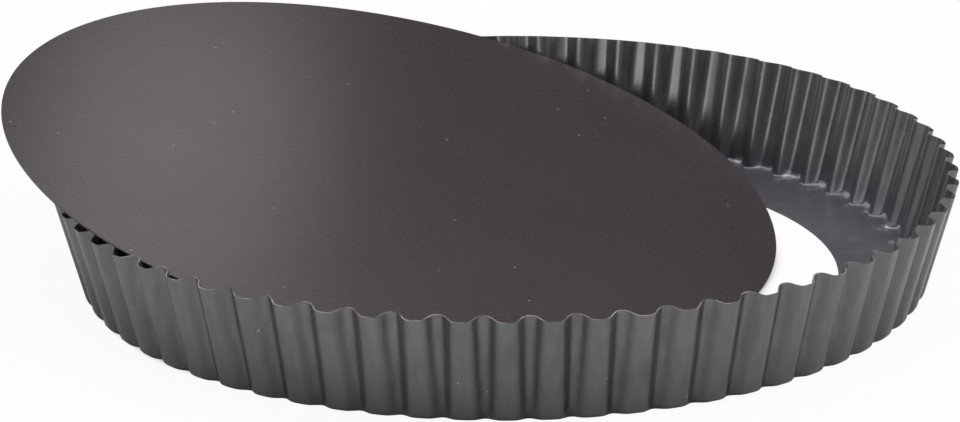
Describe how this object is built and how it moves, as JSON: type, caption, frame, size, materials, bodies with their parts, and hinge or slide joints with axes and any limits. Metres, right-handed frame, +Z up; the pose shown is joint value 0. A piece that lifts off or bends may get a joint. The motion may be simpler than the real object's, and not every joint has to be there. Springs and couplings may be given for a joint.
{
  "type": "loose-bottom quiche tin",
  "caption": "Round fluted quiche tin in coated steel: a ring with a flat inner ledge and a loose flat base, shown lifted out and leaning on the rim.",
  "frame": {"origin": "middle of the whole object's footprint, on the surface that the ring stands on; the ring's axis is 9.5 mm from it along +X", "axes": "+Z up along the ring's axis; the base's high side leans out over the rim towards -X and its low edge points to +X; the object is alike on both sides of the XZ plane"},
  "size_m": [0.2988, 0.28, 0.0562],
  "materials": {
    "ring_coating": "dark grey non-stick coating, satin, on pressed steel sheet",
    "base_coating": "dark brownish grey non-stick coating with a fine grain, low sheen"
  },
  "bodies": {
    "ring": {"fluted_ring": "ring_coating"},
    "base": {"loose_base": "base_coating"}
  },
  "joints": [
    {"name": "base_lift", "type": "slide", "parent": "ring", "child": "base", "axis": [0, 0, 1], "range_m": [0, 0.06]}
  ]
}
